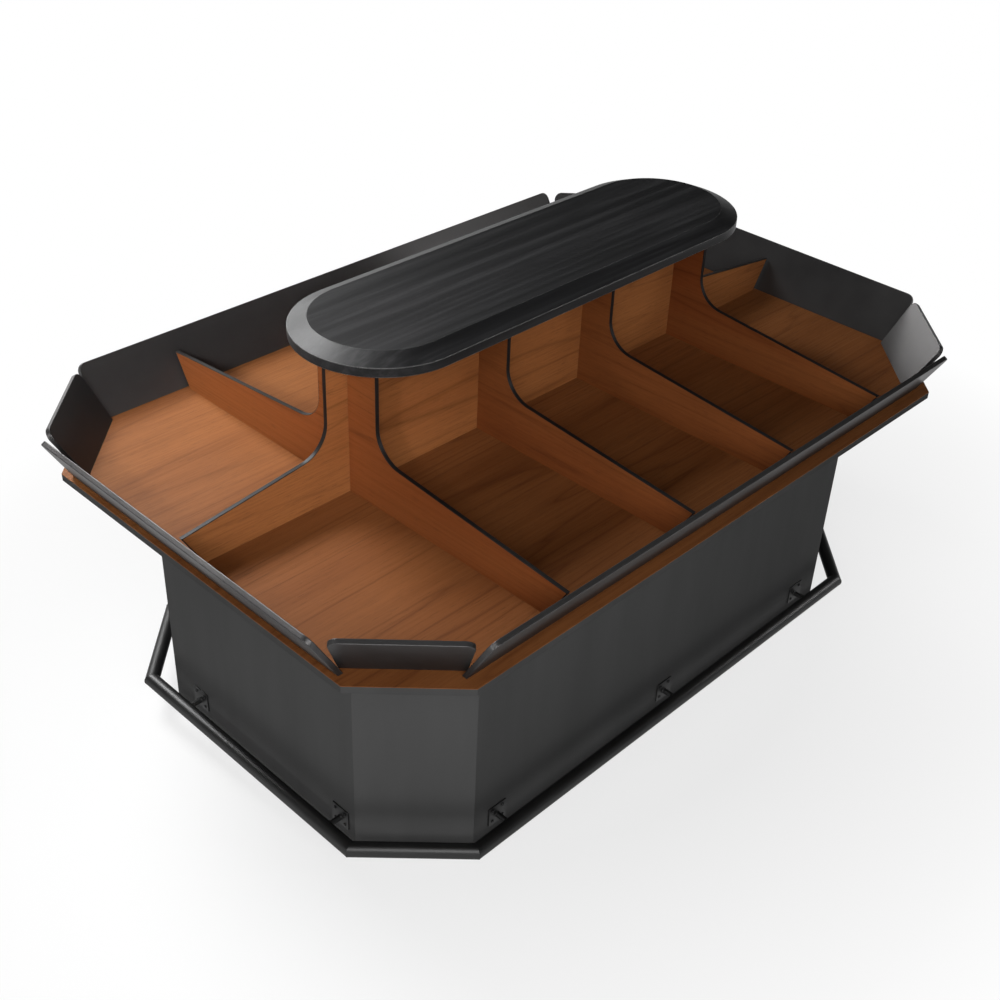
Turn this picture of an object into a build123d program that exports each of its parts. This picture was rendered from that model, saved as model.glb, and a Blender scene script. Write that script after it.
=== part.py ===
from build123d import *
import os
from math import cos, radians, sin, sqrt, tan

# Free-standing display island with an octagonal cabinet, in millimetres.
# +Z is up, X runs along the length, and the origin is on the floor under the middle.

# Deck: a wood board with cut corners that overhangs the cabinet
deck_length = 2400.0
deck_width = 1590.0
deck_corner = 217.0
deck_thickness = 22.0
deck_lip = 2.0
edging_thickness = 2.0

# Cabinet under the deck
deck_overhang_end = 170.5
deck_overhang_side = 164.0
base_corner = 224.0
base_height = 782.0
panel_thickness = 18.0
floor_gap = 30.0
web_thickness = 18.0
web_place = 430.0
lap_clearance = 0.3
post_width = 40.0

# Leaning guards around the deck
guard_inset_end = 17.0
guard_inset_side = 40.0
guard_inset_corner = 60.0
guard_lean = 30.0
guard_slope = 163.0
guard_thickness = 14.0
guard_round = 25.0
guard_ease = 2.0
guard_overrun = 40.0
corner_guard_gap = 2.0
corner_guard_flare = 18.0

# Dividers that part the deck into bins
divider_thickness = 12.0
divider_rise = 435.0
divider_shoulder = 160.0
divider_toe = 101.0
divider_fillet = 90.0
divider_gap = 14.0
divider_ease = 1.0
end_bin_length = 525.0
left_divider_place = 197.0
right_divider_place = 238.0
centre_post_margin = 78.0
cross_post_width = 228.0

# Raised top board with round ends and a wide bevel
top_overhang_end = 45.0
top_overhang_side = 130.0
top_edge = 26.5
top_bevel_run = 51.5
top_bevel_rise = 22.5
top_ease = 1.5

# Bumper rail near the floor
rail_diameter = 42.4
rail_wall = 2.0
rail_height = 105.0
rail_standoff = 57.0
rail_corner_standoff = 72.0
standoff_diameter = 16.0
weld_gap = 0.2
plate_size = 66.0
plate_thickness = 4.0
plate_round = 5.0
plate_ease = 0.6
plate_lift = 6.0
plate_hole_inset = 14.0
side_plate_inset_start = 87.5
side_plate_inset_end = 113.5
end_plate_inset_start = 127.0
end_plate_inset_end = 57.0

# Screws and angle brackets
hole_clearance = 0.25
long_screw_diameter = 5.0
long_screw_bite = 34.0
long_head_diameter = 10.0
long_head_height = 4.0
long_head_sink = 1.0
guard_screw_margin = 70.0
guard_screw_pitch = 380.0
divider_screw_margin = 110.0
divider_screw_pitch = 430.0
plate_screw_diameter = 5.0
plate_screw_bite = 13.0
plate_head_diameter = 10.0
plate_head_height = 3.2
plate_head_round = 2.0
socket_width = 4.0
socket_depth = 1.8
bracket_leg = 40.0
bracket_width = 30.0
bracket_thickness = 2.5
bracket_hole_place = 26.0
bracket_screw_diameter = 3.5
bracket_screw_cover = 3.0
bracket_head_diameter = 7.5
bracket_head_height = 2.2
top_bracket_place = 60.0
deck_bracket_side_place = 230.0
deck_bracket_end_place = 190.0

# Levelling feet
foot_inset = 130.0
foot_travel = 24.5
foot_pad_diameter = 50.0
foot_pad_height = 17.0
foot_pad_rim = 7.0
foot_pad_ease = 1.0
foot_neck_diameter = 28.0
foot_gap = 0.2
hex_width = 19.0
stud_diameter = 12.0
stud_chamfer = 1.0
stud_seat_depth = 10.0
stud_clearance = 0.1
stud_spare = 8.0
flange_diameter = 36.0
flange_thickness = 3.0
sleeve_diameter = 18.0

# Levels, angles and outlines worked out from the sizes above
cabinet_floor_level = floor_gap + panel_thickness
deck_bottom_level = floor_gap + base_height
deck_level = deck_bottom_level + deck_thickness
top_level = deck_level + divider_rise
base_length = deck_length - 2 * deck_overhang_end
base_width = deck_width - 2 * deck_overhang_side
bracket_screw_bite = divider_thickness - bracket_screw_cover
lean = radians(guard_lean)
guard_foot = guard_thickness / cos(lean)
outer_divider_place = deck_length / 2 - end_bin_length
divider_places = [
    -outer_divider_place, -left_divider_place, right_divider_place, outer_divider_place,
]
centre_post_width = 2 * (outer_divider_place + centre_post_margin)
side_names = [
    "right", "back_right", "back", "back_left",
    "left", "front_left", "front", "front_right",
]
upwards = Vector(0, 0, 1)


def octagon(length, width, corner):
    """Points of a rectangle with cut corners, anticlockwise from the right-hand side."""
    x = length / 2
    y = width / 2
    return [
        (x, corner - y), (x, y - corner), (x - corner, y), (corner - x, y),
        (-x, y - corner), (-x, corner - y), (corner - x, -y), (x - corner, -y),
    ]


def moved_octagon(length, width, corner, side, cut):
    """The same octagon with its sides moved out by one amount and its corner cuts by another."""
    return octagon(length + 2 * side, width + 2 * side, corner + 2 * side - cut * sqrt(2))


deck_outline = octagon(deck_length, deck_width, deck_corner)
deck_core = moved_octagon(
    deck_length, deck_width, deck_corner, -edging_thickness, -edging_thickness
)
base_outline = octagon(base_length, base_width, base_corner)
base_inside = moved_octagon(
    base_length, base_width, base_corner, -panel_thickness, -panel_thickness
)
rail_line = moved_octagon(
    base_length, base_width, base_corner, rail_standoff, rail_corner_standoff
)
ring_length = deck_length - 2 * guard_inset_end
ring_width = deck_width - 2 * guard_inset_side
ring_reach = (deck_length + deck_width) / 2 - deck_corner - guard_inset_corner * sqrt(2)
guard_ring = octagon(ring_length, ring_width, (ring_length + ring_width) / 2 - ring_reach)


def slab(points, bottom, top):
    """A flat board with this outline."""
    face = make_face(Polyline(*points, close=True))
    return Pos(0, 0, bottom) * extrude(face, amount=top - bottom)


def ring_strips(outer, inner, bottom, top):
    """Eight mitred strips that fill the ring between two octagons."""
    strips = []
    for i in range(8):
        j = (i + 1) % 8
        strips.append(slab([outer[i], outer[j], inner[j], inner[i]], bottom, top))
    return strips


def side_ends(points, index):
    """The two ends of one side of an octagon."""
    return Vector(*points[index % 8]), Vector(*points[(index + 1) % 8])


def side_length(points, index):
    """Length of one side of an octagon."""
    start, end = side_ends(points, index)
    return (end - start).length


def side_direction(points, index):
    """Direction of one side of an octagon."""
    start, end = side_ends(points, index)
    return (end - start).normalized()


def side_plane(points, index, level, tilt=0.0):
    """Plane on the middle of one side: X along the side, Y up the slope, Z outwards."""
    start, end = side_ends(points, index)
    along = side_direction(points, index)
    normal = along.cross(upwards) * cos(tilt) - upwards * sin(tilt)
    return Plane(origin=(start + end) * 0.5 + upwards * level, x_dir=along, z_dir=normal)


def rod(diameter, start, end):
    """A round bar along Z."""
    return Pos(0, 0, start) * Cylinder(
        diameter / 2, end - start, align=(Align.CENTER, Align.CENTER, Align.MIN)
    )


def spread(length, margin, pitch):
    """Even places along a length, a margin in from both ends and about one pitch apart."""
    run = length - 2 * margin
    count = max(1, round(run / pitch))
    return [run * k / count - run / 2 for k in range(count + 1)]


# Long wood screws that hold the guards and the dividers from under the deck
def long_screw(grip):
    """A screw along +Z with the underside of its head at Z 0."""
    shank = rod(long_screw_diameter, 0, grip + long_screw_bite)
    return shank + rod(long_head_diameter, -long_head_height, 0)


def long_screw_hole(grip):
    """Room for a long screw, with a counterbore for its head."""
    room = 2 * hole_clearance
    shank = rod(long_screw_diameter + room, -1, grip + long_screw_bite + 1)
    return shank + rod(long_head_diameter + room, -2 * deck_thickness, 0)


# Guards, each made flat in its own plane and then leaned outwards on the deck
def guard_plate(foot_length, flare):
    """One guard: X along it, Y up the slope from the deck, outer face at Z 0."""
    below = guard_thickness
    half = foot_length / 2
    step = flare * below / guard_slope
    face = make_face(Polyline(
        (step - half, -below), (half - step, -below),
        (half + flare, guard_slope), (-half - flare, guard_slope), close=True,
    ))
    face = fillet(face.vertices().group_by(Axis.Y)[-1], guard_round)
    plate = extrude(face, amount=-guard_thickness)
    layers = plate.edges().group_by(Axis.Z)
    rims = (layers[0] + layers[-1]).filter_by_position(Axis.Y, 1 - below, guard_slope + 1)
    return fillet(rims, guard_ease)


def guard_length(index):
    """Length of a guard where it meets the deck; corner guards tuck inside their neighbours."""
    if index % 2:
        return side_length(guard_ring, index) - 2 * sqrt(2) * (guard_foot + corner_guard_gap)
    return side_length(guard_ring, index) + 2 * guard_overrun


deck_underside_place = (-deck_thickness - guard_thickness / 2 * sin(lean)) / cos(lean)
guard_screw_place = (
    deck_underside_place + long_head_diameter / 2 * tan(lean) + long_head_sink + long_head_height
)


def guard_screw_places(index):
    """Where the screws of one guard start, pointing up its slope."""
    plane = side_plane(guard_ring, index, deck_level, lean)
    across = spread(guard_length(index), guard_screw_margin, guard_screw_pitch)
    return [
        plane.location * Pos(x, guard_screw_place, -guard_thickness / 2) * Rot(-90, 0, 0)
        for x in across
    ]


def guard(index):
    """One guard in place, cut level where it stands on the deck."""
    flare = corner_guard_flare if index % 2 else 0.0
    plate = side_plane(guard_ring, index, deck_level, lean) * guard_plate(guard_length(index), flare)
    standing = split(plate, bisect_by=Plane.XY.offset(deck_level), keep=Keep.TOP)
    holes = [place * long_screw_hole(-guard_screw_place) for place in guard_screw_places(index)]
    return standing - holes


# Dividers, drawn flat with Y up from the deck and then stood up
def divider_face(reach, post, edge):
    """A divider's outline, less an edge where the edging strips cover it."""
    foot = reach / 2 - guard_foot - divider_gap
    toe = foot + divider_toe * tan(lean)
    half = post / 2
    low = foot - edge * tan(lean)
    face = make_face(Polyline(
        (-low, -edge), (low, -edge), (toe, divider_toe), (half, divider_shoulder),
        (half, divider_rise + edge), (-half, divider_rise + edge),
        (-half, divider_shoulder), (-toe, divider_toe), close=True,
    ))
    shoulders = face.vertices().filter_by_position(
        Axis.Y, divider_shoulder - 0.01, divider_shoulder + 0.01
    )
    face = fillet(shoulders, divider_fillet)
    if edge:
        face = offset(face, amount=-edge)
    return face


def divider_core(reach, post):
    """The wood board of a divider, lying flat."""
    return extrude(divider_face(reach, post, edging_thickness), divider_thickness / 2, both=True)


def divider_strips(reach, post):
    """The two edging strips of a divider, lying flat."""
    whole = extrude(divider_face(reach, post, 0), divider_thickness / 2, both=True)
    layers = whole.edges().group_by(Axis.Z)
    rims = (layers[0] + layers[-1]).filter_by_position(Axis.Y, 0.1, divider_rise - 0.1)
    return (fillet(rims, divider_ease) - divider_core(reach, post)).solids()


centre_upright = Pos(0, 0, deck_level) * Rot(90, 0, 0)
cross_upright = Pos(0, 0, deck_level) * Rot(0, 0, 90) * Rot(90, 0, 0)
divider_head_level = deck_bottom_level + long_head_height + long_head_sink
divider_screw_grip = deck_level - divider_head_level


def divider_screw_places():
    """Where the screws of every divider start, pointing up."""
    indent = guard_foot + divider_gap + divider_screw_margin
    places = [Pos(x, 0, divider_head_level) for x in spread(ring_length, indent, divider_screw_pitch)]
    for x in divider_places:
        places += [
            Pos(x, y, divider_head_level) for y in spread(ring_width, indent, divider_screw_pitch)
        ]
    return places


def lap_slot(bottom, top):
    """Room for one board to cross another between two levels."""
    width = divider_thickness + 2 * lap_clearance
    return Pos(0, 0, (bottom + top) / 2) * Box(width, width, top - bottom)


# Angle brackets, with one leg up against a level face and the other on an upright one
def angle_bracket():
    """Level leg along +Y under Z 0, upright leg down from it along Y 0."""
    level_leg = Pos(0, bracket_leg / 2, -bracket_thickness / 2) * Box(
        bracket_width, bracket_leg, bracket_thickness
    )
    upright_leg = Pos(0, bracket_thickness / 2, -bracket_leg / 2) * Box(
        bracket_width, bracket_thickness, bracket_leg
    )
    hole = rod(bracket_screw_diameter + 2 * hole_clearance, -1, bracket_thickness + 1)
    holes = [place * Pos(0, 0, -bracket_thickness) * hole for place in bracket_screw_turns()]
    return level_leg + upright_leg - holes


def bracket_screw_turns():
    """The two screws of a bracket, each pointing into the face that it holds to."""
    return [
        Pos(0, bracket_hole_place, 0),
        Pos(0, 0, -bracket_hole_place) * Rot(90, 0, 0),
    ]


def bracket_screw():
    """A screw along +Z through a bracket's leg, which lies just under Z 0."""
    shank = rod(bracket_screw_diameter, -bracket_thickness, bracket_screw_bite)
    head = rod(
        bracket_head_diameter, -bracket_thickness - bracket_head_height, -bracket_thickness
    )
    return shank + head


def top_bracket_places():
    """Brackets between the cross dividers and the top board."""
    return [
        Pos(x + divider_thickness / 2, y, top_level) * Rot(0, 0, -90)
        for x in divider_places
        for y in (-top_bracket_place, top_bracket_place)
    ]


def deck_bracket_places():
    """Brackets between the straight cabinet panels and the deck."""
    places = []
    for index in (0, 2, 4, 6):
        plane = side_plane(base_inside, index, deck_bottom_level)
        step = deck_bracket_side_place if index % 4 else deck_bracket_end_place
        for x in (-step, step):
            places.append(plane.location * Pos(x, 0, 0) * Rot(-90, 0, 0))
    return places


def bracket_screw_places():
    """Every bracket screw."""
    return [
        place * turn
        for place in top_bracket_places() + deck_bracket_places()
        for turn in bracket_screw_turns()
    ]


def bracket_screw_holes():
    """Holes in the wood for the bracket screws."""
    hole = rod(bracket_screw_diameter + 2 * hole_clearance, -1, bracket_screw_bite + 1)
    return [place * hole for place in bracket_screw_places()]


# Bumper rail: eight tubes, and square plates with stand-offs on the straight sides
def rail_tube(index):
    """One straight tube with both ends mitred against its neighbours."""
    start, end = side_ends(rail_line, index)
    run = side_length(rail_line, index) + 4 * rail_diameter
    ring = Circle(rail_diameter / 2) - Circle(rail_diameter / 2 - rail_wall)
    tube = extrude(ring, amount=run / 2, both=True)
    tube = side_plane(rail_line, index, rail_height) * (Rot(0, 90, 0) * tube)
    along = side_direction(rail_line, index)
    before = side_direction(rail_line, index - 1) + along
    after = side_direction(rail_line, index + 1) + along
    tube = split(tube, bisect_by=Plane(origin=start, z_dir=before), keep=Keep.TOP)
    return split(tube, bisect_by=Plane(origin=end, z_dir=after), keep=Keep.BOTTOM)


def plate_places():
    """Planes on the cabinet at the height of the rail, where the stand-offs point outwards."""
    places = []
    for index in (0, 2, 4, 6):
        half = side_length(base_outline, index) / 2
        if index % 4:
            across = [side_plate_inset_start - half, 0.0, half - side_plate_inset_end]
        else:
            across = [end_plate_inset_start - half, half - end_plate_inset_end]
        location = side_plane(base_outline, index, rail_height).location
        places += [location * Pos(x, 0, 0) for x in across]
    return places


def plate_screw_places():
    """The four screws of every plate, each pointing into the cabinet from the plate's face."""
    step = plate_size / 2 - plate_hole_inset
    return [
        place * Pos(x, y + plate_lift, plate_thickness) * Rot(180, 0, 0)
        for place in plate_places()
        for x in (-step, step)
        for y in (-step, step)
    ]


def plate():
    """A square plate with round corners, lying on the cabinet."""
    face = fillet(Rectangle(plate_size, plate_size).vertices(), plate_round)
    board = extrude(Pos(0, plate_lift) * face, amount=plate_thickness)
    return fillet(board.edges().group_by(Axis.Z)[-1], plate_ease)


def plate_screw():
    """A button-head screw along +Z with a hexagon socket."""
    head = rod(plate_head_diameter, -plate_head_height, 0)
    head = fillet(head.edges().group_by(Axis.Z)[0], plate_head_round)
    socket = extrude(RegularPolygon(socket_width / sqrt(3), 6), amount=socket_depth)
    head -= Pos(0, 0, -plate_head_height) * socket
    return head + rod(plate_screw_diameter, 0, plate_thickness + plate_screw_bite)


def plate_screw_holes():
    """Holes in the plates and the cabinet for the button-head screws."""
    room = plate_screw_diameter + 2 * hole_clearance
    hole = rod(room, -1, plate_thickness + plate_screw_bite + 1)
    return [place * hole for place in plate_screw_places()]


def standoff():
    """A round bar from a plate to the rail, shaped to the tube."""
    bar = rod(standoff_diameter, plate_thickness, rail_standoff)
    tube = rod(rail_diameter + 2 * weld_gap, -rail_diameter, rail_diameter)
    return bar - Pos(0, 0, rail_standoff) * Rot(0, 90, 0) * tube


# Levelling feet
def foot_places():
    """Under the ends and the middle of both long sides."""
    x = base_length / 2 - base_corner
    y = base_width / 2 - foot_inset
    return [(-x, -y), (0.0, -y), (x, -y), (x, y), (0.0, y), (-x, y)]


flange_level = floor_gap - flange_thickness


def foot_pad():
    """A round pad with a blind seat for the stud."""
    skirt = rod(foot_pad_diameter, 0, foot_pad_rim)
    skirt = fillet(skirt.edges().group_by(Axis.Z)[0], foot_pad_ease)
    cone = Pos(0, 0, foot_pad_rim) * Cone(
        foot_pad_diameter / 2, foot_neck_diameter / 2, foot_pad_height - foot_pad_rim,
        align=(Align.CENTER, Align.CENTER, Align.MIN),
    )
    seat = rod(stud_diameter + 2 * stud_clearance, foot_pad_height - stud_seat_depth, foot_pad_height + 1)
    return skirt + cone - seat


def foot_stud():
    """A threaded stud with a hexagon between the pad and the flange."""
    top = cabinet_floor_level + foot_travel + stud_spare
    stud = rod(stud_diameter, foot_pad_height - stud_seat_depth + foot_gap, top)
    stud = chamfer(stud.edges().group_by(Axis.Z)[-1], stud_chamfer)
    hexagon = extrude(
        RegularPolygon(hex_width / sqrt(3), 6), amount=flange_level - foot_pad_height - 2 * foot_gap
    )
    return stud + Pos(0, 0, foot_pad_height + foot_gap) * hexagon


def foot_insert():
    """A flanged sleeve in the bottom board."""
    sleeve = rod(sleeve_diameter, flange_level, cabinet_floor_level)
    bore = rod(stud_diameter + 2 * stud_clearance, 0, cabinet_floor_level + 1)
    return sleeve + rod(flange_diameter, flange_level, floor_gap) - bore


parts = {}

# Cabinet: panels, bottom board, crossed webs and corner posts
panel_holes = plate_screw_holes() + bracket_screw_holes()
panels = ring_strips(base_outline, base_inside, floor_gap, deck_bottom_level)
for i, side in enumerate(side_names):
    parts[f"base_panel_{side}"] = panels[i] - panel_holes if i % 2 == 0 else panels[i]

sleeve_hole = rod(sleeve_diameter + 2 * hole_clearance, floor_gap - 1, cabinet_floor_level + 1)
bottom_board = slab(base_inside, floor_gap, cabinet_floor_level)
parts["base_bottom"] = bottom_board - [Pos(x, y, 0) * sleeve_hole for x, y in foot_places()]

web_height = deck_bottom_level - cabinet_floor_level
web_middle = cabinet_floor_level + web_height / 2
web_slot_width = web_thickness + 2 * lap_clearance
web_slot = Box(web_slot_width, web_slot_width, web_height / 2 + lap_clearance)
upper_slot = Pos(0, 0, deck_bottom_level - web_height / 4) * web_slot
lower_slot = Pos(0, 0, cabinet_floor_level + web_height / 4) * web_slot
long_web = Box(base_length - 2 * panel_thickness, web_thickness, web_height)
cross_web = Box(web_thickness, base_width - 2 * panel_thickness, web_height)
parts["inner_web_long"] = Pos(0, 0, web_middle) * long_web - [
    Pos(x, 0, 0) * upper_slot for x in (-web_place, web_place)
]
for side, x in (("left", -web_place), ("right", web_place)):
    parts[f"inner_web_{side}"] = Pos(x, 0, 0) * (Pos(0, 0, web_middle) * cross_web - lower_slot)

corner_posts = []
for i in range(8):
    corner = Vector(*base_inside[i])
    ahead = side_direction(base_inside, i) * post_width
    back = side_direction(base_inside, i - 1) * -post_width
    outline = [corner, corner + ahead, corner + ahead + back, corner + back]
    corner_posts.append(slab([(p.X, p.Y) for p in outline], cabinet_floor_level, deck_bottom_level))
parts["corner_posts"] = Compound(corner_posts)

# Deck with its edging
guard_screws = [place for i in range(8) for place in guard_screw_places(i)]
deck_holes = [place * long_screw_hole(-guard_screw_place) for place in guard_screws]
deck_holes += [place * long_screw_hole(divider_screw_grip) for place in divider_screw_places()]
deck_holes += bracket_screw_holes()
lip_level = deck_level - deck_lip
deck_board = slab(deck_core, deck_bottom_level, lip_level) + slab(deck_outline, lip_level, deck_level)
parts["deck_board"] = deck_board - deck_holes
parts["deck_edging"] = Compound(ring_strips(deck_outline, deck_core, deck_bottom_level, lip_level))

# Guards and their screws
for i, side in enumerate(side_names):
    parts[f"guard_{side}"] = guard(i)
parts["guard_screws"] = Compound([place * long_screw(-guard_screw_place) for place in guard_screws])

# Dividers, half-lapped where they cross
half_level = deck_level + divider_rise / 2
divider_holes = [place * long_screw_hole(divider_screw_grip) for place in divider_screw_places()]
divider_holes += bracket_screw_holes()
upper_lap = lap_slot(half_level - lap_clearance, top_level + 1)
lower_lap = lap_slot(deck_level - 1, half_level)
centre_board = centre_upright * divider_core(ring_length, centre_post_width)
parts["centre_divider"] = centre_board - [Pos(x, 0, 0) * upper_lap for x in divider_places] - divider_holes
cross_board = cross_upright * divider_core(ring_width, cross_post_width) - lower_lap
cross_strips = divider_strips(ring_width, cross_post_width)
edging = [centre_upright * strip for strip in divider_strips(ring_length, centre_post_width)]
for i, x in enumerate(divider_places):
    parts[f"cross_divider_{i + 1}"] = Pos(x, 0, 0) * cross_board - divider_holes
    edging += [Pos(x, 0, 0) * cross_upright * strip for strip in cross_strips]
parts["divider_edging"] = Compound(edging)
parts["divider_screws"] = Compound(
    [place * long_screw(divider_screw_grip) for place in divider_screw_places()]
)

# Top board and brackets
top_length = centre_post_width + 2 * top_overhang_end
top_width = cross_post_width + 2 * top_overhang_side
top_outline = SlotOverall(top_length, top_width)
top_face = SlotOverall(top_length - 2 * top_bevel_run, top_width - 2 * top_bevel_run)
top_board = extrude(top_outline, amount=top_edge)
top_board += loft([Pos(0, 0, top_edge) * top_outline, Pos(0, 0, top_edge + top_bevel_rise) * top_face])
top_rims = top_board.edges().filter_by(lambda e: abs(e.center().Z - e.position_at(0).Z) < 0.01)
top_board = fillet(top_rims, top_ease)
parts["top_board"] = Pos(0, 0, top_level) * top_board - bracket_screw_holes()
bracket_places = top_bracket_places() + deck_bracket_places()
parts["angle_brackets"] = Compound([place * angle_bracket() for place in bracket_places])
parts["bracket_screws"] = Compound([place * bracket_screw() for place in bracket_screw_places()])

# Bumper rail
for i, side in enumerate(side_names):
    parts[f"rail_{side}"] = rail_tube(i)
plate_holes = plate_screw_holes()
parts["rail_plates"] = Compound([place * plate() - plate_holes for place in plate_places()])
parts["rail_standoffs"] = Compound([place * standoff() for place in plate_places()])
parts["rail_screws"] = Compound([place * plate_screw() for place in plate_screw_places()])

# Feet
parts["foot_inserts"] = Compound([Pos(x, y, 0) * foot_insert() for x, y in foot_places()])
for i, (x, y) in enumerate(foot_places()):
    parts[f"foot_pad_{i + 1}"] = Pos(x, y, 0) * foot_pad()
    parts[f"foot_stud_{i + 1}"] = Pos(x, y, 0) * foot_stud()

os.makedirs("parts", exist_ok=True)
for name, shape in parts.items():
    export_step(shape, f"parts/{name}.step")
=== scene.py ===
"""Looks for a free-standing display island: finishes, weld beads, threads, floor, light and camera."""

import math

import bpy
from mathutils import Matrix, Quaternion, Vector


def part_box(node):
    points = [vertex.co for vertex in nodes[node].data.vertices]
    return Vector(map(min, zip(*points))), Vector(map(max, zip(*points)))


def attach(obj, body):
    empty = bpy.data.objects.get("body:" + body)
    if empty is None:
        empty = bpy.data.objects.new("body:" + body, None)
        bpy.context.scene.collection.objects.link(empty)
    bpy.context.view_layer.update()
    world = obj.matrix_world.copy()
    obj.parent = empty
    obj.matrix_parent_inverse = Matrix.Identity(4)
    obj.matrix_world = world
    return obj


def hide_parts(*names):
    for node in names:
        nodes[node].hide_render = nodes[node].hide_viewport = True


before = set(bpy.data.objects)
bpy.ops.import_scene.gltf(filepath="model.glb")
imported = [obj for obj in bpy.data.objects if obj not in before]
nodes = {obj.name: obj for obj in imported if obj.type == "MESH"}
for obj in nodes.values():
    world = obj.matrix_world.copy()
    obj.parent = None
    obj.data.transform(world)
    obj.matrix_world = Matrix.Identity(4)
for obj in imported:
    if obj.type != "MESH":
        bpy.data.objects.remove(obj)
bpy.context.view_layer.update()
scene = bpy.context.scene


def srgb(red, green, blue):
    """A colour written as it shows on a screen, from 0 to 255, as linear light by the sRGB curve."""
    def linear(level):
        share = level / 255
        return share / 12.92 if share <= 0.04045 else ((share + 0.055) / 1.055) ** 2.4

    return linear(red), linear(green), linear(blue), 1.0


# Colours of the finishes
WALNUT_DARK = srgb(74, 38, 17)
WALNUT_MID = srgb(128, 76, 40)
WALNUT_LIGHT = srgb(154, 99, 57)
WALNUT_RED = srgb(118, 62, 30)
# The deck's walnut is the same walnut made darker: painted shade for the lesser light on the deck
WALNUT_DECK_SHADED = srgb(112, 66, 34)
WALNUT_DECK_SHADED_LIGHT = srgb(138, 88, 50)
WALNUT_PORE = srgb(46, 22, 10)
STAIN_DARK = srgb(14, 14, 15)
STAIN_MID = srgb(22, 22, 23)
STAIN_LIGHT = srgb(40, 40, 41)
GRAPHITE_PANEL = srgb(81, 81, 81)
GRAPHITE_PANEL_DARK = srgb(76, 76, 76)
# The deck edging's laminate is the panel laminate made darker: painted shade, to match the panel shaded
# under the deck
GRAPHITE_STRIP_SHADED = srgb(74, 74, 74)
GRAPHITE_STRIP_SHADED_DARK = srgb(69, 69, 69)
GRAPHITE_GUARD = srgb(77, 76, 76)
GRAPHITE_GUARD_DARK = srgb(71, 70, 70)
BLACK_COAT = srgb(69, 69, 69)
BLACK_COAT_DARK = srgb(62, 62, 62)
EDGING = srgb(27, 25, 24)
EDGING_DARK = srgb(22, 20, 19)
SCREW_BLACK = srgb(44, 44, 45)
SCREW_DARK = srgb(30, 30, 31)
ZINC_LIGHT = srgb(200, 202, 206)
ZINC_DARK = srgb(158, 161, 168)
PLASTIC_BLACK = srgb(34, 34, 35)
PLASTIC_DARK = srgb(27, 27, 28)
CHIP_LIGHT = srgb(176, 143, 104)
CHIP_DARK = srgb(117, 84, 54)
# Pale grey of worn edges and of the laminate's pearl; on the guards' edges it is partly a painted
# highlight
PALE_GREY = srgb(96, 95, 94)
# Pale colour of a painted highlight along the top board's edges
HIGHLIGHT_PALE = srgb(176, 175, 173)
WORN_WOOD = srgb(142, 96, 60)
FLOOR_WHITE = srgb(230, 230, 230)
FLOOR_BOUNCE = srgb(165, 165, 165)
WHITE = srgb(255, 255, 255)

# Sockets of the colour mix, by number because the other kinds of mix share their names
MIX_FACTOR = 0
MIX_FIRST = 6
MIX_SECOND = 7
MIX_RESULT = 2


# Node helpers
def plug(tree, node, inputs):
    """Links or sets a node's sockets, given by name or number."""
    for key, value in inputs.items():
        if isinstance(value, bpy.types.NodeSocket):
            tree.links.new(value, node.inputs[key])
        else:
            node.inputs[key].default_value = value


def add(tree, kind, inputs=None, **settings):
    """A new node with its settings, and with sockets linked or set."""
    node = tree.nodes.new(kind)
    for key, value in settings.items():
        setattr(node, key, value)
    plug(tree, node, inputs or {})
    return node


def new_material(name):
    """An empty material with a shader, as (material, tree, shader)."""
    material = bpy.data.materials.new(name)
    material.use_nodes = True
    tree = material.node_tree
    return material, tree, tree.nodes["Principled BSDF"]


def object_space(tree):
    """Places in the part's own frame, in metres."""
    return add(tree, "ShaderNodeTexCoord").outputs["Object"]


def grain_space(tree, along, shift):
    """Places turned so that X runs along the grain, and shifted so that boards differ."""
    turn = math.radians(90) if along == "Y" else 0.0
    mapping = add(tree, "ShaderNodeMapping", {
        "Vector": object_space(tree),
        "Rotation": (0.0, 0.0, turn),
        "Location": shift,
    })
    return mapping.outputs["Vector"]


def even(waves):
    """A noise's scale with the same number of waves a metre along each axis."""
    return waves, waves, waves


def noise(tree, space, scale, detail=2.0, roughness=0.5, distortion=0.0):
    """Noise from 0 to 1 about one half, with its scale given along each axis in waves a metre."""
    mapping = add(tree, "ShaderNodeMapping", {"Vector": space, "Scale": scale})
    texture = add(tree, "ShaderNodeTexNoise", {
        "Vector": mapping.outputs["Vector"],
        "Scale": 1.0,
        "Detail": detail,
        "Roughness": roughness,
        "Distortion": distortion,
    })
    return texture.outputs["Fac"]


def cells(tree, space, scale):
    """Cells of random size, as (a tone from 0 to 1 for each cell, the distance from its middle)."""
    texture = add(tree, "ShaderNodeTexVoronoi", {"Vector": space, "Scale": scale, "Randomness": 1.0})
    tone = add(tree, "ShaderNodeSeparateColor", {"Color": texture.outputs["Color"]}).outputs["Red"]
    return tone, texture.outputs["Distance"]


def fit(tree, value, low, high, to_low=0.0, to_high=1.0):
    """A value mapped from one range to another and held inside it."""
    node = add(tree, "ShaderNodeMapRange", {
        "Value": value, "From Min": low, "From Max": high, "To Min": to_low, "To Max": to_high,
    })
    return node.outputs["Result"]


def math_node(tree, operation, first, second=0.0):
    """One sum on two values."""
    return add(tree, "ShaderNodeMath", {0: first, 1: second}, operation=operation).outputs["Value"]


def mix(tree, factor, first, second):
    """One colour laid over another."""
    inputs = {MIX_FACTOR: factor, MIX_FIRST: first, MIX_SECOND: second}
    return add(tree, "ShaderNodeMix", inputs, data_type="RGBA").outputs[MIX_RESULT]


def ramp(tree, value, stops):
    """A colour ramp through (place, colour) stops."""
    node = add(tree, "ShaderNodeValToRGB", {"Fac": value})
    elements = node.color_ramp.elements
    while len(elements) < len(stops):
        elements.new(0.5)
    for element, (place, colour) in zip(elements, stops):
        element.position = place
        element.color = colour
    return node.outputs["Color"]


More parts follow.
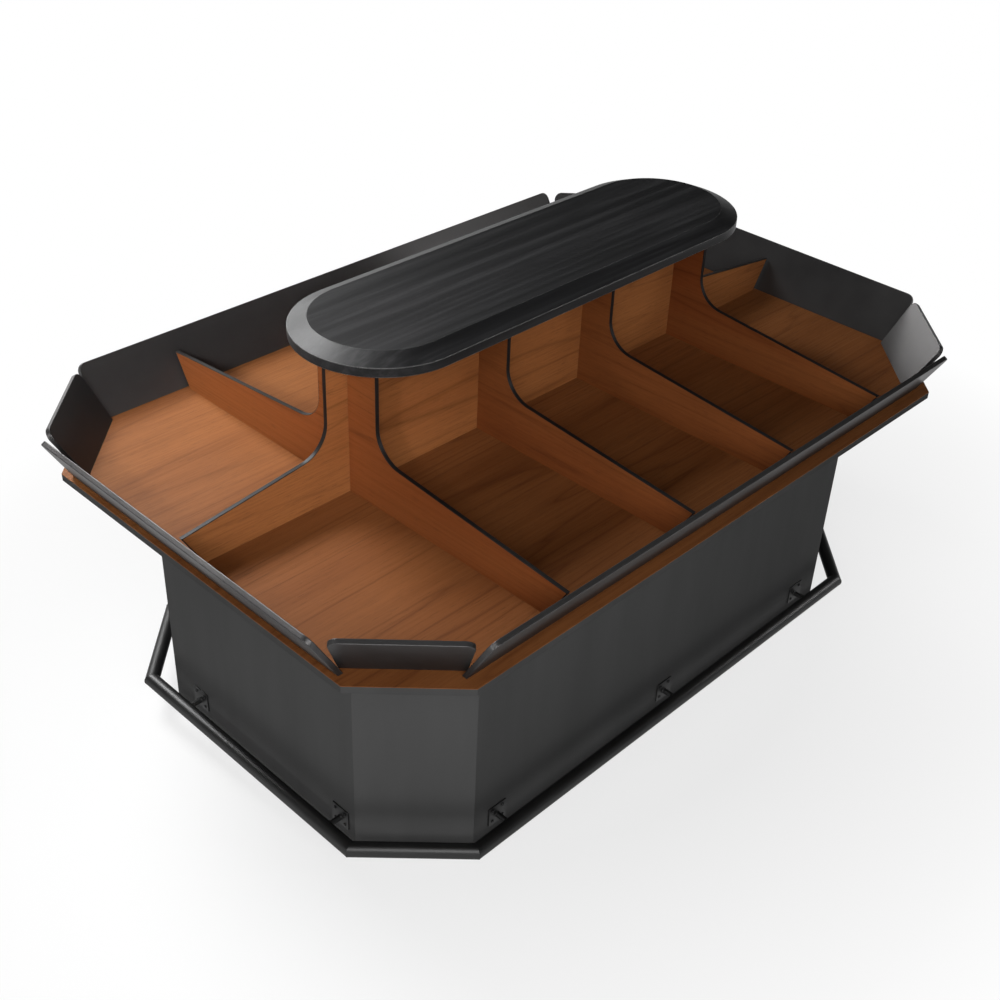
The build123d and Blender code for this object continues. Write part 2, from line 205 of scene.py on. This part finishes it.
def seen_directly(tree):
    """1 for what the camera, a reflection or glass shows, and 0 for bounced light."""
    path = add(tree, "ShaderNodeLightPath")
    seen = math_node(tree, "MAXIMUM", path.outputs["Is Camera Ray"], path.outputs["Is Glossy Ray"])
    return math_node(tree, "MAXIMUM", seen, path.outputs["Is Transmission Ray"])


# Parts of a finish, where nearly all of a noise lies between NOISE_LOW and NOISE_HIGH
EDGE_SAMPLES = 6
EDGE_START = 0.1
EDGE_PATCH_WAVES = 38.0
EDGE_PATCH_SPAN = 0.26
NOISE_LOW = 0.3
NOISE_HIGH = 0.7
PORE_SHARE = 0.5


def soft_edges(tree, radius, full=0.80):
    """The normal with its edges rounded, and a mask of those edges.

    The mask grows with that normal's lean from the face, up to 1 where the lean's cosine is full.
    """
    rounded = add(tree, "ShaderNodeBevel", {"Radius": radius}, samples=EDGE_SAMPLES).outputs["Normal"]
    flat = add(tree, "ShaderNodeNewGeometry").outputs["Normal"]
    cosine = add(tree, "ShaderNodeVectorMath", {0: rounded, 1: flat}, operation="DOT_PRODUCT")
    start = 1.0 - (1.0 - full) * EDGE_START
    return rounded, fit(tree, cosine.outputs["Value"], start, full)


def bump(tree, shader, height, normal, distance, strength):
    """Relief on the shader from a height between 0 and 1."""
    node = add(tree, "ShaderNodeBump", {
        "Height": height, "Distance": distance, "Strength": strength, "Normal": normal,
    })
    plug(tree, shader, {"Normal": node.outputs["Normal"]})


def pale_edges(tree, colour, mask, space, pale_colour, amount, start=0.42):
    """The colour made paler in patches along the edges, in more of them for a lower start: wear on most
    finishes, a painted highlight on the top board, and partly one on the guards.
    """
    patches = noise(tree, space, scale=even(EDGE_PATCH_WAVES), detail=4.0, roughness=0.65)
    patches = fit(tree, patches, start, start + EDGE_PATCH_SPAN, to_high=amount)
    return mix(tree, math_node(tree, "MULTIPLY", mask, patches), colour, pale_colour)


def two_tone(tree, pattern, dark, light, low=0.35, high=0.68):
    """A colour that runs from dark to light with a noise."""
    return mix(tree, fit(tree, pattern, low, high), dark, light)


def uneven(tree, pattern, at_low, at_high):
    """A roughness that runs between two levels with a noise."""
    return fit(tree, pattern, NOISE_LOW, NOISE_HIGH, at_low, at_high)


def ring_lines(tree, figure, count, sharpness):
    """Thin lines, 1 at their middle, where a slow noise passes each of so many levels."""
    level = math_node(tree, "FRACT", math_node(tree, "MULTIPLY", figure, count))
    wave = math_node(tree, "PINGPONG", math_node(tree, "MULTIPLY", level, 2.0), 1.0)
    return math_node(tree, "POWER", wave, sharpness)


def metal_flake(tree, shader, share, edge):
    """A share of metal flake in a coating, with its gloss at a flat angle held down to edge."""
    plug(tree, shader, {
        "Metallic": share,
        "Specular Tint": (edge, edge, edge, 1.0),
        "Specular IOR Level": 0.0,
    })


# Finishes
def walnut(name, along, mid, light, shift=(0.0, 0.0, 0.0)):
    """Oiled walnut veneer with long streaks, fine fibres and short pores."""
    material, tree, shader = new_material(name)
    space = grain_space(tree, along, shift)
    rounded, edges = soft_edges(tree, radius=0.0012)
    figure = noise(tree, space, scale=(0.40, 6.5, 6.5), roughness=0.45, distortion=0.35)
    tone = noise(tree, space, scale=(0.35, 3.2, 3.2), detail=3.0)
    fibres = noise(tree, space, scale=(4.0, 190.0, 190.0), detail=3.0, roughness=0.6)
    pores = fit(tree, noise(tree, space, scale=(24.0, 900.0, 900.0), detail=1.0), low=0.62, high=0.74)
    streak = ring_lines(tree, figure, count=7.0, sharpness=9.0)
    streak_share = fit(tree, tone, low=0.35, high=0.60, to_low=0.60, to_high=0.20)
    body = two_tone(tree, tone, mid, light, low=0.32, high=0.66)
    body = mix(tree, math_node(tree, "MULTIPLY", streak, streak_share), body, WALNUT_DARK)
    body = mix(tree, fit(tree, fibres, low=0.42, high=0.74, to_high=0.28), body, WALNUT_DARK)
    body = mix(tree, math_node(tree, "MULTIPLY", pores, PORE_SHARE), body, WALNUT_PORE)
    plug(tree, shader, {
        "Base Color": pale_edges(tree, body, edges, space, WORN_WOOD, amount=0.5),
        "Roughness": uneven(tree, fibres, at_low=0.44, at_high=0.58),
        "Specular IOR Level": 0.10,
    })
    relief = math_node(tree, "SUBTRACT", fibres, pores)
    bump(tree, shader, relief, rounded, distance=0.0003, strength=0.35)
    return material


def stained_wood(name):
    """Black-stained wood with pale lengthwise streaks under a satin lacquer, and a painted highlight
    along its edges.
    """
    material, tree, shader = new_material(name)
    space = grain_space(tree, "X", shift=(0.31, 0.17, 0.0))
    rounded, edges = soft_edges(tree, radius=0.0024, full=0.95)
    bands = noise(tree, space, scale=(1.1, 34.0, 34.0), detail=5.0, roughness=0.60, distortion=0.3)
    fibres = noise(tree, space, scale=(3.0, 170.0, 170.0), detail=3.0, roughness=0.6)
    pores = fit(tree, noise(tree, space, scale=(20.0, 800.0, 800.0), detail=1.0), low=0.60, high=0.75)
    body = ramp(tree, bands, [(0.35, STAIN_DARK), (0.50, STAIN_MID), (0.65, STAIN_LIGHT)])
    body = mix(tree, fit(tree, fibres, low=0.45, high=0.75, to_high=0.6), body, STAIN_DARK)
    body = mix(tree, math_node(tree, "MULTIPLY", pores, PORE_SHARE), body, STAIN_DARK)
    plug(tree, shader, {
        # The paled edges are a painted highlight: a thin bright line along the eased edges
        "Base Color": pale_edges(tree, body, edges, space, HIGHLIGHT_PALE, amount=0.8, start=0.22),
        "Roughness": fit(tree, bands, low=0.34, high=0.66, to_low=0.44, to_high=0.48),
        "Specular IOR Level": 0.25,
    })
    relief = math_node(tree, "SUBTRACT", fibres, pores)
    bump(tree, shader, relief, rounded, distance=0.0003, strength=0.25)
    return material


def laminate(name, colour, dark):
    """Graphite laminate of the cabinet: a satin skin with a fine pearl and faint upright clouds."""
    material, tree, shader = new_material(name)
    space = object_space(tree)
    rounded, edges = soft_edges(tree, radius=0.0012)
    clouds = noise(tree, space, scale=(7.0, 7.0, 1.2), detail=3.0, roughness=0.55)
    pearl = noise(tree, space, scale=even(900.0))
    body = two_tone(tree, clouds, dark, colour, low=0.32)
    body = mix(tree, fit(tree, pearl, low=0.55, high=0.80, to_high=0.35), body, PALE_GREY)
    plug(tree, shader, {
        "Base Color": pale_edges(tree, body, edges, space, PALE_GREY, amount=0.6),
        "Roughness": uneven(tree, clouds, at_low=0.34, at_high=0.29),
    })
    metal_flake(tree, shader, share=0.345, edge=0.35)
    bump(tree, shader, pearl, rounded, distance=0.00015, strength=0.30)
    return material


def powder_coat(name, colour, dark, roughness, flake, peel, edge_paling):
    """Baked powder paint with a share of metal flake, orange peel, and edges paled by some amount, which
    is partly wear and partly a painted highlight.
    """
    material, tree, shader = new_material(name)
    space = object_space(tree)
    rounded, edges = soft_edges(tree, radius=0.0012)
    skin = noise(tree, space, scale=even(peel))
    clouds = noise(tree, space, scale=even(5.0), detail=4.0, roughness=0.6)
    body = two_tone(tree, clouds, dark, colour, low=0.32)
    spread = 0.04
    plug(tree, shader, {
        "Base Color": pale_edges(tree, body, edges, space, PALE_GREY, amount=edge_paling),
        "Roughness": uneven(tree, clouds, roughness - spread, roughness + spread),
    })
    metal_flake(tree, shader, share=flake, edge=0.72)
    bump(tree, shader, skin, rounded, distance=0.0004, strength=0.22)
    return material


def edge_banding(name):
    """Charcoal plastic edging with fine scraper marks."""
    material, tree, shader = new_material(name)
    space = object_space(tree)
    rounded, edges = soft_edges(tree, radius=0.0008)
    marks = noise(tree, space, scale=(60.0, 60.0, 420.0), detail=3.0, roughness=0.6)
    body = two_tone(tree, marks, EDGING_DARK, EDGING)
    plug(tree, shader, {
        "Base Color": pale_edges(tree, body, edges, space, PALE_GREY, amount=0.6),
        "Roughness": uneven(tree, marks, at_low=0.36, at_high=0.46),
        "Specular IOR Level": 0.15,
    })
    bump(tree, shader, marks, rounded, distance=0.0001, strength=0.30)
    return material


def chipboard(name):
    """Raw chipboard with pressed flakes, inside the cabinet."""
    material, tree, shader = new_material(name)
    space = object_space(tree)
    rounded, _ = soft_edges(tree, radius=0.0010)
    flake_tone, flake_distance = cells(tree, space, scale=240.0)
    tint = noise(tree, space, scale=even(130.0), detail=4.0, roughness=0.7)
    body = two_tone(tree, tint, CHIP_DARK, CHIP_LIGHT)
    flake_share = 0.4
    plug(tree, shader, {
        "Base Color": mix(tree, math_node(tree, "MULTIPLY", flake_tone, flake_share), body, CHIP_DARK),
        "Roughness": uneven(tree, tint, at_low=0.72, at_high=0.88),
    })
    bump(tree, shader, flake_distance, rounded, distance=0.0005, strength=0.35)
    return material


def screw_black(name):
    """Blackened steel with a soft oxide bloom."""
    material, tree, shader = new_material(name)
    space = object_space(tree)
    rounded, edges = soft_edges(tree, radius=0.0004)
    bloom = noise(tree, space, scale=even(260.0), detail=3.0, roughness=0.6)
    body = two_tone(tree, bloom, SCREW_DARK, SCREW_BLACK)
    plug(tree, shader, {
        "Base Color": pale_edges(tree, body, edges, space, PALE_GREY, amount=0.7),
        "Roughness": uneven(tree, bloom, at_low=0.30, at_high=0.44),
        "Metallic": 0.6,
    })
    bump(tree, shader, bloom, rounded, distance=0.0001, strength=0.20)
    return material


def zinc_steel(name):
    """Zinc-plated steel with a faint spangle."""
    material, tree, shader = new_material(name)
    space = object_space(tree)
    rounded, _ = soft_edges(tree, radius=0.0005)
    spangle, _ = cells(tree, space, scale=190.0)
    stain = noise(tree, space, scale=even(45.0), detail=4.0, roughness=0.6)
    spangle_share = fit(tree, spangle, low=0.0, high=1.0, to_low=0.15, to_high=0.75)
    body = mix(tree, spangle_share, ZINC_LIGHT, ZINC_DARK)
    plug(tree, shader, {
        "Base Color": mix(tree, fit(tree, stain, low=0.50, high=0.75, to_high=0.5), body, ZINC_DARK),
        "Roughness": uneven(tree, stain, at_low=0.26, at_high=0.42),
        "Metallic": 1.0,
    })
    bump(tree, shader, stain, rounded, distance=0.0001, strength=0.20)
    return material


def moulded_plastic(name):
    """Black nylon with a sparked mould texture."""
    material, tree, shader = new_material(name)
    space = object_space(tree)
    rounded, edges = soft_edges(tree, radius=0.0010)
    spark = noise(tree, space, scale=even(1300.0))
    clouds = noise(tree, space, scale=even(60.0), detail=3.0)
    body = two_tone(tree, clouds, PLASTIC_DARK, PLASTIC_BLACK)
    plug(tree, shader, {
        "Base Color": pale_edges(tree, body, edges, space, PALE_GREY, amount=0.6),
        "Roughness": uneven(tree, spark, at_low=0.48, at_high=0.62),
    })
    bump(tree, shader, spark, rounded, distance=0.0002, strength=0.30)
    return material


def numbers(start):
    """The numbers from 1 of the CAD nodes whose names start this way."""
    return range(1, 1 + sum(name.startswith(start) for name in nodes))


def dress(start, material):
    """Gives the finish to every CAD node whose name starts this way."""
    for name, node in nodes.items():
        if name.startswith(start):
            for material_slot in node.material_slots:
                material_slot.material = material


panel_finish = laminate("graphite_panel", GRAPHITE_PANEL, GRAPHITE_PANEL_DARK)
# A darker copy of the panel laminate for the deck edging, as painted shade
shaded_strip_finish = laminate("graphite_strip_shaded", GRAPHITE_STRIP_SHADED, GRAPHITE_STRIP_SHADED_DARK)
# The guards' paled edges are partly wear and partly a painted highlight on their rims
guard_finish = powder_coat(
    "graphite_guard", GRAPHITE_GUARD, GRAPHITE_GUARD_DARK,
    roughness=0.34, flake=0.72, peel=420.0, edge_paling=0.35,
)
rail_finish = powder_coat(
    "black_powder_coat", BLACK_COAT, BLACK_COAT_DARK,
    roughness=0.45, flake=0.95, peel=520.0, edge_paling=0.0,
)
board_finish = chipboard("inner_board")
screw_finish = screw_black("black_screw")
zinc_finish = zinc_steel("zinc_steel")

# Each node's finish, where a later line overrides an earlier one
dress("base_panel", panel_finish)
dress("base_bottom", board_finish)
dress("inner_web", board_finish)
dress("corner_posts", board_finish)
# The deck's walnut is darker as painted shade
dress("deck_board", walnut("walnut_deck_shaded", "X", WALNUT_DECK_SHADED, WALNUT_DECK_SHADED_LIGHT))
dress("deck_edging", shaded_strip_finish)
dress("guard_", guard_finish)
dress("guard_screws", screw_finish)
dress("centre_divider", walnut("walnut_centre", "X", WALNUT_MID, WALNUT_LIGHT, shift=(0.7, 0.4, 0.2)))
for number in numbers("cross_divider_"):
    shift = (1.3 * number, 0.6 * number, 0.3)
    dress(f"cross_divider_{number}", walnut(f"walnut_cross_{number}", "Y", WALNUT_RED, WALNUT_MID, shift))
dress("divider_edging", edge_banding("dark_edging"))
dress("divider_screws", screw_finish)
dress("top_board", stained_wood("black_stained_wood"))
dress("angle_brackets", zinc_finish)
dress("bracket_screws", zinc_finish)
dress("rail_", rail_finish)
dress("rail_screws", screw_finish)
dress("foot_inserts", zinc_finish)
dress("foot_stud", zinc_finish)
dress("foot_pad", moulded_plastic("black_plastic"))


# Weld beads, with lengths in metres
BEAD_STEPS = 96
BEAD_SIDES = 8
BEAD_RADIUS = 0.0020
BEAD_RIPPLES = 24
BEAD_RIPPLE_DEPTH = 0.13
SEAM_RADIUS = 0.0012
SEAM_SINK = 0.0006
SEAM_RIPPLES = 48
SMOOTH_ANGLE = math.radians(40)
HALF_CORNER_TURN = math.radians(22.5)
STANDOFF_REACH = 0.1
STRAIGHT_SIDES = ("right", "back", "left", "front")
UP = Vector((0, 0, 1))


def new_piece(name, shells, material, body):
    """One piece made of closed shells, each given as (vertices, faces)."""
    vertices, faces = [], []
    for shell_vertices, shell_faces in shells:
        start = len(vertices)
        vertices += shell_vertices
        faces += [[start + index for index in face] for face in shell_faces]
    mesh = bpy.data.meshes.new(name)
    mesh.from_pydata(vertices, [], faces)
    mesh.materials.append(material)
    mesh.shade_smooth()
    mesh.set_sharp_from_angle(angle=SMOOTH_ANGLE)
    piece = bpy.data.objects.new(name, mesh)
    scene.collection.objects.link(piece)
    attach(piece, body)
    return piece


def bead(path, radius, ripples):
    """A weld bead along a closed path, with the ripples that the weld leaves."""
    count = len(path)
    middle = sum(path, Vector()) / count
    vertices, faces = [], []
    for index, point in enumerate(path):
        along = (path[(index + 1) % count] - path[index - 1]).normalized()
        outward = (point - middle).normalized()
        across = along.cross(outward).normalized()
        wave = math.cos(math.tau * ripples * index / count)
        size = radius * (1.0 - BEAD_RIPPLE_DEPTH * (1.0 - wave) / 2)
        for side in range(BEAD_SIDES):
            angle = math.tau * side / BEAD_SIDES
            vertices.append(point + (outward * math.cos(angle) + across * math.sin(angle)) * size)
            ring = index * BEAD_SIDES
            next_ring = (index + 1) % count * BEAD_SIDES
            next_side = (side + 1) % BEAD_SIDES
            faces.append((ring + side, ring + next_side, next_ring + next_side, next_ring + side))
    return vertices, faces


def angles():
    """Angles once round a bead."""
    return [math.tau * step / BEAD_STEPS for step in range(BEAD_STEPS)]


def node_box(name):
    """A node's lowest and highest corners."""
    low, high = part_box(name)
    return Vector(low), Vector(high)


def lumps(node, reach):
    """The boxes of a node's separate lumps, which are smaller than reach and lie further apart."""
    groups = []
    for vertex in node.data.vertices:
        for group in groups:
            if (vertex.co - group[0]).length < reach:
                group.append(vertex.co)
                break
        else:
            groups.append([vertex.co])
    boxes = []
    for group in groups:
        low = Vector([min(point[axis] for point in group) for axis in range(3)])
        high = Vector([max(point[axis] for point in group) for axis in range(3)])
        boxes.append((low, high))
    return boxes


def side_vectors(side):
    """The outward direction of a straight side, and the direction along it."""
    outward = {
        "right": Vector((1, 0, 0)), "left": Vector((-1, 0, 0)),
        "back": Vector((0, 1, 0)), "front": Vector((0, -1, 0)),
    }[side]
    return outward, Vector((-outward.y, outward.x, 0))


def rail_axis(side):
    """The tube's radius, and how far its axis lies from the middle, on a straight side."""
    low, high = node_box(f"rail_{side}")
    outward, _ = side_vectors(side)
    radius = (high.z - low.z) / 2
    return radius, max(low.dot(outward), high.dot(outward)) - radius


def standoff_beads():
    """Two beads for every stand-off: a ring on its plate and a saddle on the rail."""
    shells = []
    for low, high in lumps(nodes["rail_standoffs"], STANDOFF_REACH):
        middle = (low + high) / 2
        size = high - low
        on_end = size.x > size.y
        if on_end:
            side = "right" if middle.x > 0 else "left"
        else:
            side = "back" if middle.y > 0 else "front"
        outward, along = side_vectors(side)
        radius = size.z / 2
        foot = middle + outward * (min(low.dot(outward), high.dot(outward)) - middle.dot(outward))
        ring = [foot + (along * math.cos(turn) + UP * math.sin(turn)) * radius for turn in angles()]
        shells.append(bead(ring, BEAD_RADIUS, BEAD_RIPPLES))
        tube_radius, axis_distance = rail_axis(side)
        axis = middle + outward * (axis_distance - middle.dot(outward))
        saddle = []
        for turn in angles():
            rise = radius * math.sin(turn)
            depth = math.sqrt(tube_radius ** 2 - rise ** 2)
            saddle.append(axis + along * radius * math.cos(turn) + UP * rise - outward * depth)
        shells.append(bead(saddle, BEAD_RADIUS, BEAD_RIPPLES))
    return shells


def mitre_seams():
    """A dressed weld seam round the tube at each of the eight corners of the rail."""
    shells = []
    for side in STRAIGHT_SIDES:
        low, high = node_box(f"rail_{side}")
        outward, along = side_vectors(side)
        radius, axis_distance = rail_axis(side)
        half = abs((high - low).dot(along)) / 2 - radius * math.tan(HALF_CORNER_TURN)
        reach = radius - SEAM_SINK
        for way in (-1, 1):
            corner = outward * axis_distance + along * half * way + UP * (low.z + high.z) / 2
            bisector = outward * math.cos(HALF_CORNER_TURN) + along * way * math.sin(HALF_CORNER_TURN)
            across = bisector * reach / math.cos(HALF_CORNER_TURN)
            path = [corner + across * math.cos(turn) + UP * reach * math.sin(turn) for turn in angles()]
            shells.append(bead(path, SEAM_RADIUS, SEAM_RIPPLES))
    return shells


# Threaded studs, with lengths in metres and the run-out in turns
CREST_RADIUS = 0.00595
THREAD_PITCH = 0.00175
THREAD_DEPTH = 0.00105
THREAD_STEPS = 24
THREAD_RUN_OUT = 0.5
THREAD_ROOT_SINK = THREAD_DEPTH / 4
RIDGE_FOOT = 0.44 * THREAD_PITCH
RIDGE_FLAT = 0.0625 * THREAD_PITCH
RIDGE_CORNERS = 4
SHANK_SIDES = 32
SHANK_TIP = 0.0006
SHANK_END = 0.001
SHANK_STEP = 0.002
THREAD_IN_HEX = 0.001
THREAD_BELOW_END = 0.002
HEX_SIDES = 6
HEX_WIDTH = 0.019
HEX_GAP = 0.0002
HEX_EDGE = 0.0007


def round_point(middle, radius, angle, height):
    """A point at an angle round an upright axis."""
    return middle.x + radius * math.cos(angle), middle.y + radius * math.sin(angle), height


def turned(profile, middle, sides):
    """A closed shell turned about an upright axis, from (radius, height) points between its two ends."""
    vertices, faces = [], []
    for radius, height in profile:
        for side in range(sides):
            vertices.append(round_point(middle, radius, math.tau * side / sides, height))
    for level in range(len(profile) - 1):
        for side in range(sides):
            next_side = (side + 1) % sides
            ring = level * sides
            faces.append((ring + side, ring + next_side, ring + sides + next_side, ring + sides + side))
    faces.append(list(reversed(range(sides))))
    faces.append([(len(profile) - 1) * sides + side for side in range(sides)])
    return vertices, faces


def thread(middle, root, low, high):
    """A right-hand helical ridge round a shank, running out at both ends."""
    steps = int((high - low) / THREAD_PITCH * THREAD_STEPS)
    run_out = THREAD_RUN_OUT * THREAD_STEPS
    base = root - THREAD_ROOT_SINK
    vertices, faces = [], []
    for step in range(steps + 1):
        angle = math.tau * step / THREAD_STEPS
        height = low + THREAD_PITCH * step / THREAD_STEPS
        tip = root + THREAD_DEPTH * min(1.0, step / run_out, (steps - step) / run_out)
        section = ((base, -RIDGE_FOOT), (tip, -RIDGE_FLAT), (tip, RIDGE_FLAT), (base, RIDGE_FOOT))
        for radius, rise in section:
            vertices.append(round_point(middle, radius, angle, height + rise))
    for step in range(steps):
        for corner in range(RIDGE_CORNERS):
            next_corner = (corner + 1) % RIDGE_CORNERS
            here = step * RIDGE_CORNERS
            there = here + RIDGE_CORNERS
            faces.append((here + corner, there + corner, there + next_corner, here + next_corner))
    last = steps * RIDGE_CORNERS
    faces.append(list(range(RIDGE_CORNERS)))
    faces.append([last + corner for corner in reversed(range(RIDGE_CORNERS))])
    return vertices, faces


def threaded_stud(number):
    """A stud with its real thread and a hexagon with eased corners, in the place of the plain one."""
    low, high = node_box(f"foot_stud_{number}")
    middle = (low + high) / 2
    _, pad_high = node_box(f"foot_pad_{number}")
    insert_low, _ = node_box("foot_inserts")
    hex_low = pad_high.z + HEX_GAP
    hex_high = insert_low.z - HEX_GAP
    root = CREST_RADIUS - THREAD_DEPTH
    shank = [
        (CREST_RADIUS - SHANK_TIP, low.z),
        (CREST_RADIUS, low.z + SHANK_TIP),
        (CREST_RADIUS, hex_low + SHANK_STEP),
        (root, hex_high - SHANK_STEP),
        (root, high.z - SHANK_END),
        (root - SHANK_END, high.z),
    ]
    hex_radius = HEX_WIDTH / math.sqrt(3)
    hexagon = [
        (hex_radius - HEX_EDGE, hex_low),
        (hex_radius, hex_low + HEX_EDGE / 2),
        (hex_radius, hex_high - HEX_EDGE / 2),
        (hex_radius - HEX_EDGE, hex_high),
    ]
    shells = [
        turned(shank, middle, SHANK_SIDES),
        turned(hexagon, middle, HEX_SIDES),
        thread(middle, root, hex_high - THREAD_IN_HEX, high.z - THREAD_BELOW_END),
    ]
    piece = new_piece(f"threaded_stud_{number}", shells, zinc_finish, f"stud_{number}")
    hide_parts(f"foot_stud_{number}")


new_piece("standoff_beads", standoff_beads(), rail_finish, "island")
new_piece("mitre_seams", mitre_seams(), rail_finish, "island")
for number in numbers("foot_stud_"):
    threaded_stud(number)


# Floor, with lengths in metres
FLOOR_HALF = 40.0
FADE_OVAL = (0.80, 1.10, 1.0)
FADE_START = 1.0
FADE_END = 2.2
FADE_LEAST = 0.72


def floor_material():
    """A matt pale floor that fades to pure white away from the shadow, and bounces a duller grey."""
    material, tree, shader = new_material("floor")
    seen = seen_directly(tree)
    plug(tree, shader, {
        "Base Color": mix(tree, seen, FLOOR_BOUNCE, FLOOR_WHITE),
        "Roughness": 0.9,
        "Specular IOR Level": 0.1,
    })
    oval = add(tree, "ShaderNodeMapping", {"Vector": object_space(tree), "Scale": FADE_OVAL})
    far = add(tree, "ShaderNodeVectorMath", {0: oval.outputs["Vector"]}, operation="LENGTH")
    fade = fit(tree, far.outputs["Value"], FADE_START, FADE_END, to_low=FADE_LEAST)
    white = add(tree, "ShaderNodeEmission", {"Color": WHITE, "Strength": 1.0})
    blend = add(tree, "ShaderNodeMixShader", {
        0: math_node(tree, "MULTIPLY", fade, seen),
        1: shader.outputs["BSDF"],
        2: white.outputs["Emission"],
    })
    plug(tree, tree.nodes["Material Output"], {"Surface": blend.outputs["Shader"]})
    return material


corners = [(-FLOOR_HALF, -FLOOR_HALF, 0), (FLOOR_HALF, -FLOOR_HALF, 0),
           (FLOOR_HALF, FLOOR_HALF, 0), (-FLOOR_HALF, FLOOR_HALF, 0)]
floor_mesh = bpy.data.meshes.new("floor")
floor_mesh.from_pydata(corners, [], [(0, 1, 2, 3)])
floor_mesh.materials.append(floor_material())
floor = bpy.data.objects.new("floor", floor_mesh)
scene.collection.objects.link(floor)


# Light
SKY_GREYS = ((0.0, 1.0), (0.03, 0.60), (0.12, 0.05), (1.0, 0.03))
SKY_BOUNCE = 0.11
NO_GRID = 180.0


def studio_world():
    """White behind the object, and in reflections white round the horizon under a dim ceiling.

    The greys go by height, from the horizon to straight up. As bounced light they are dimmed.
    """
    world = bpy.data.worlds.new("studio")
    world.use_nodes = True
    scene.world = world
    tree = world.node_tree
    direction = add(tree, "ShaderNodeTexCoord").outputs["Generated"]
    height = add(tree, "ShaderNodeSeparateXYZ", {"Vector": direction}).outputs["Z"]
    sky = ramp(tree, height, [(place, (grey, grey, grey, 1.0)) for place, grey in SKY_GREYS])
    view = add(tree, "ShaderNodeLightPath").outputs["Is Camera Ray"]
    plug(tree, tree.nodes["Background"], {
        "Color": mix(tree, view, sky, WHITE),
        "Strength": fit(tree, seen_directly(tree), low=0.0, high=1.0, to_low=SKY_BOUNCE),
    })


def area_light(name, place, aim, size, power, spread=NO_GRID):
    """A soft rectangle of light that the camera doesn't see, gridded down to a spread in degrees."""
    light = bpy.data.lights.new(name, "AREA")
    light.shape = "RECTANGLE"
    light.size, light.size_y = size
    light.energy = power
    light.spread = math.radians(spread)
    lamp = bpy.data.objects.new(name, light)
    lamp.location = place
    lamp.rotation_mode = "QUATERNION"
    lamp.rotation_quaternion = (Vector(aim) - Vector(place)).to_track_quat("-Z", "Y")
    lamp.visible_camera = False
    scene.collection.objects.link(lamp)


studio_world()

# Lamps, each by its place and aim in metres, its power in watts and its spread in degrees
area_light("back_softbox", (-0.9, 3.3, 4.4), (-1.0, 0.0, 1.1), size=(2.2, 2.2), power=48.0, spread=60.0)
area_light("back_low", (0.6, 5.4, 1.9), (0.0, 0.0, 1.0), size=(2.6, 1.8), power=80.0)
area_light("back_right", (1.7, 3.4, 3.5), (0.0, 0.0, 1.2), size=(1.4, 1.6), power=3.5)
area_light("front_key", (-0.9, -4.0, 2.9), (-0.2, 0.0, 1.25), size=(2.2, 2.0), power=3.5, spread=32.0)
area_light("camera_key", (-2.9, -2.9, 2.8), (0.0, 0.0, 0.9), size=(2.2, 2.0), power=94.0)
area_light("left_key", (-4.1, 0.0, 1.5), (-1.1, 0.0, 0.5), size=(2.2, 1.6), power=3.5, spread=34.0)
area_light("right_low", (2.4, -3.0, 2.4), (-0.2, 0.8, 1.1), size=(3.0, 1.2), power=1.8, spread=30.0)
area_light("left_fill", (-3.2, -1.2, 3.0), (-0.30, 0.80, 0.95), size=(1.0, 1.0), power=3.2, spread=14.0)
area_light("far_corner", (2.3, 3.4, 1.7), (1.15, -0.70, 0.95), size=(0.9, 0.6), power=0.63, spread=16.0)
area_light("rail_glint", (3.6, -2.6, 2.1), (0.8, -0.69, -0.25), size=(0.6, 0.6), power=1.2, spread=24.0)


# Camera of the photograph
CAMERA_PLACE = Vector((-2.66442, -2.39785, 2.95705))
CAMERA_AIM = Vector((0.60262, 0.55973, -0.56882))
CAMERA_ROLL = math.radians(2.657)
CAMERA_LENS = 50.164
CAMERA_REACH = 200.0
SENSOR_WIDTH = 36.0


def photo_camera():
    """The camera that gives the photograph's view."""
    data = bpy.data.cameras.new("photo")
    data.lens = CAMERA_LENS
    data.sensor_width = SENSOR_WIDTH
    data.clip_end = CAMERA_REACH
    camera = bpy.data.objects.new("photo", data)
    camera.location = CAMERA_PLACE
    camera.rotation_mode = "QUATERNION"
    camera.rotation_quaternion = CAMERA_AIM.to_track_quat("-Z", "Y") @ Quaternion((0, 0, 1), CAMERA_ROLL)
    scene.collection.objects.link(camera)
    scene.camera = camera


photo_camera()
scene.view_settings.view_transform = "Standard"
